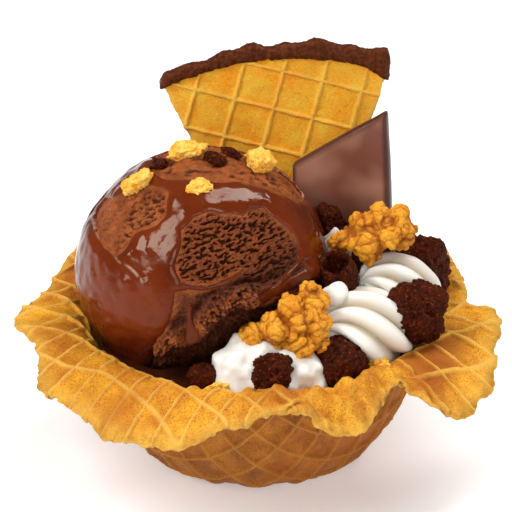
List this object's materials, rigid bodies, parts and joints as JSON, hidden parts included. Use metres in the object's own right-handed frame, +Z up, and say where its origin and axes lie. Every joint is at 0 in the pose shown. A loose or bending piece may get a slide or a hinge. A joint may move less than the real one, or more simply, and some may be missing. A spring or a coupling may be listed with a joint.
{
  "type": "waffle bowl sundae",
  "caption": "Ruffled waffle bowl of chocolate ice cream under sauce, with whipped cream, brownie, crunchy clusters, a dipped wafer fan and a chocolate slab.",
  "frame": {"origin": "centre of the underside of the bowl's flat foot", "axes": "+Z up out of the bowl, front of the sundae towards -Y, toppings towards +X"},
  "size_m": [0.1388, 0.1312, 0.1096],
  "materials": {
    "waffle": "matte baked",
    "ice_cream": "frozen cream, partly under glossy sauce",
    "fudge": "glossy",
    "cream": "soft satin",
    "brownie": "rough matte",
    "cluster": "rough, slightly glazed",
    "crumb": "rough matte",
    "chocolate": "satin"
  },
  "bodies": {
    "root": {"waffle_bowl": "waffle", "wafer_fan": "waffle", "ice_cream_scoop": "ice_cream", "fudge_fill": "fudge", "cream_middle": "cream", "cream_front": "cream", "cream_back": "cream", "cream_peak": "cream", "cream_rear": "cream", "brownie_ball": "brownie", "brownie_roll": "brownie", "brownie_bite": "brownie", "brownie_right": "brownie", "brownie_far": "brownie", "brownie_behind": "brownie", "brownie_slab_side": "brownie", "brownie_rear": "brownie", "chocolate_bean": "brownie", "flake_left": "brownie", "flake_middle": "brownie", "flake_back": "brownie", "cluster_front": "cluster", "cluster_back": "cluster", "crumb_left": "crumb", "crumb_top": "crumb", "crumb_right": "crumb", "crumb_small": "crumb", "crumb_front": "crumb", "crumb_side": "crumb", "dipped_edge": "chocolate", "chocolate_slab": "chocolate"}
  },
  "joints": []
}
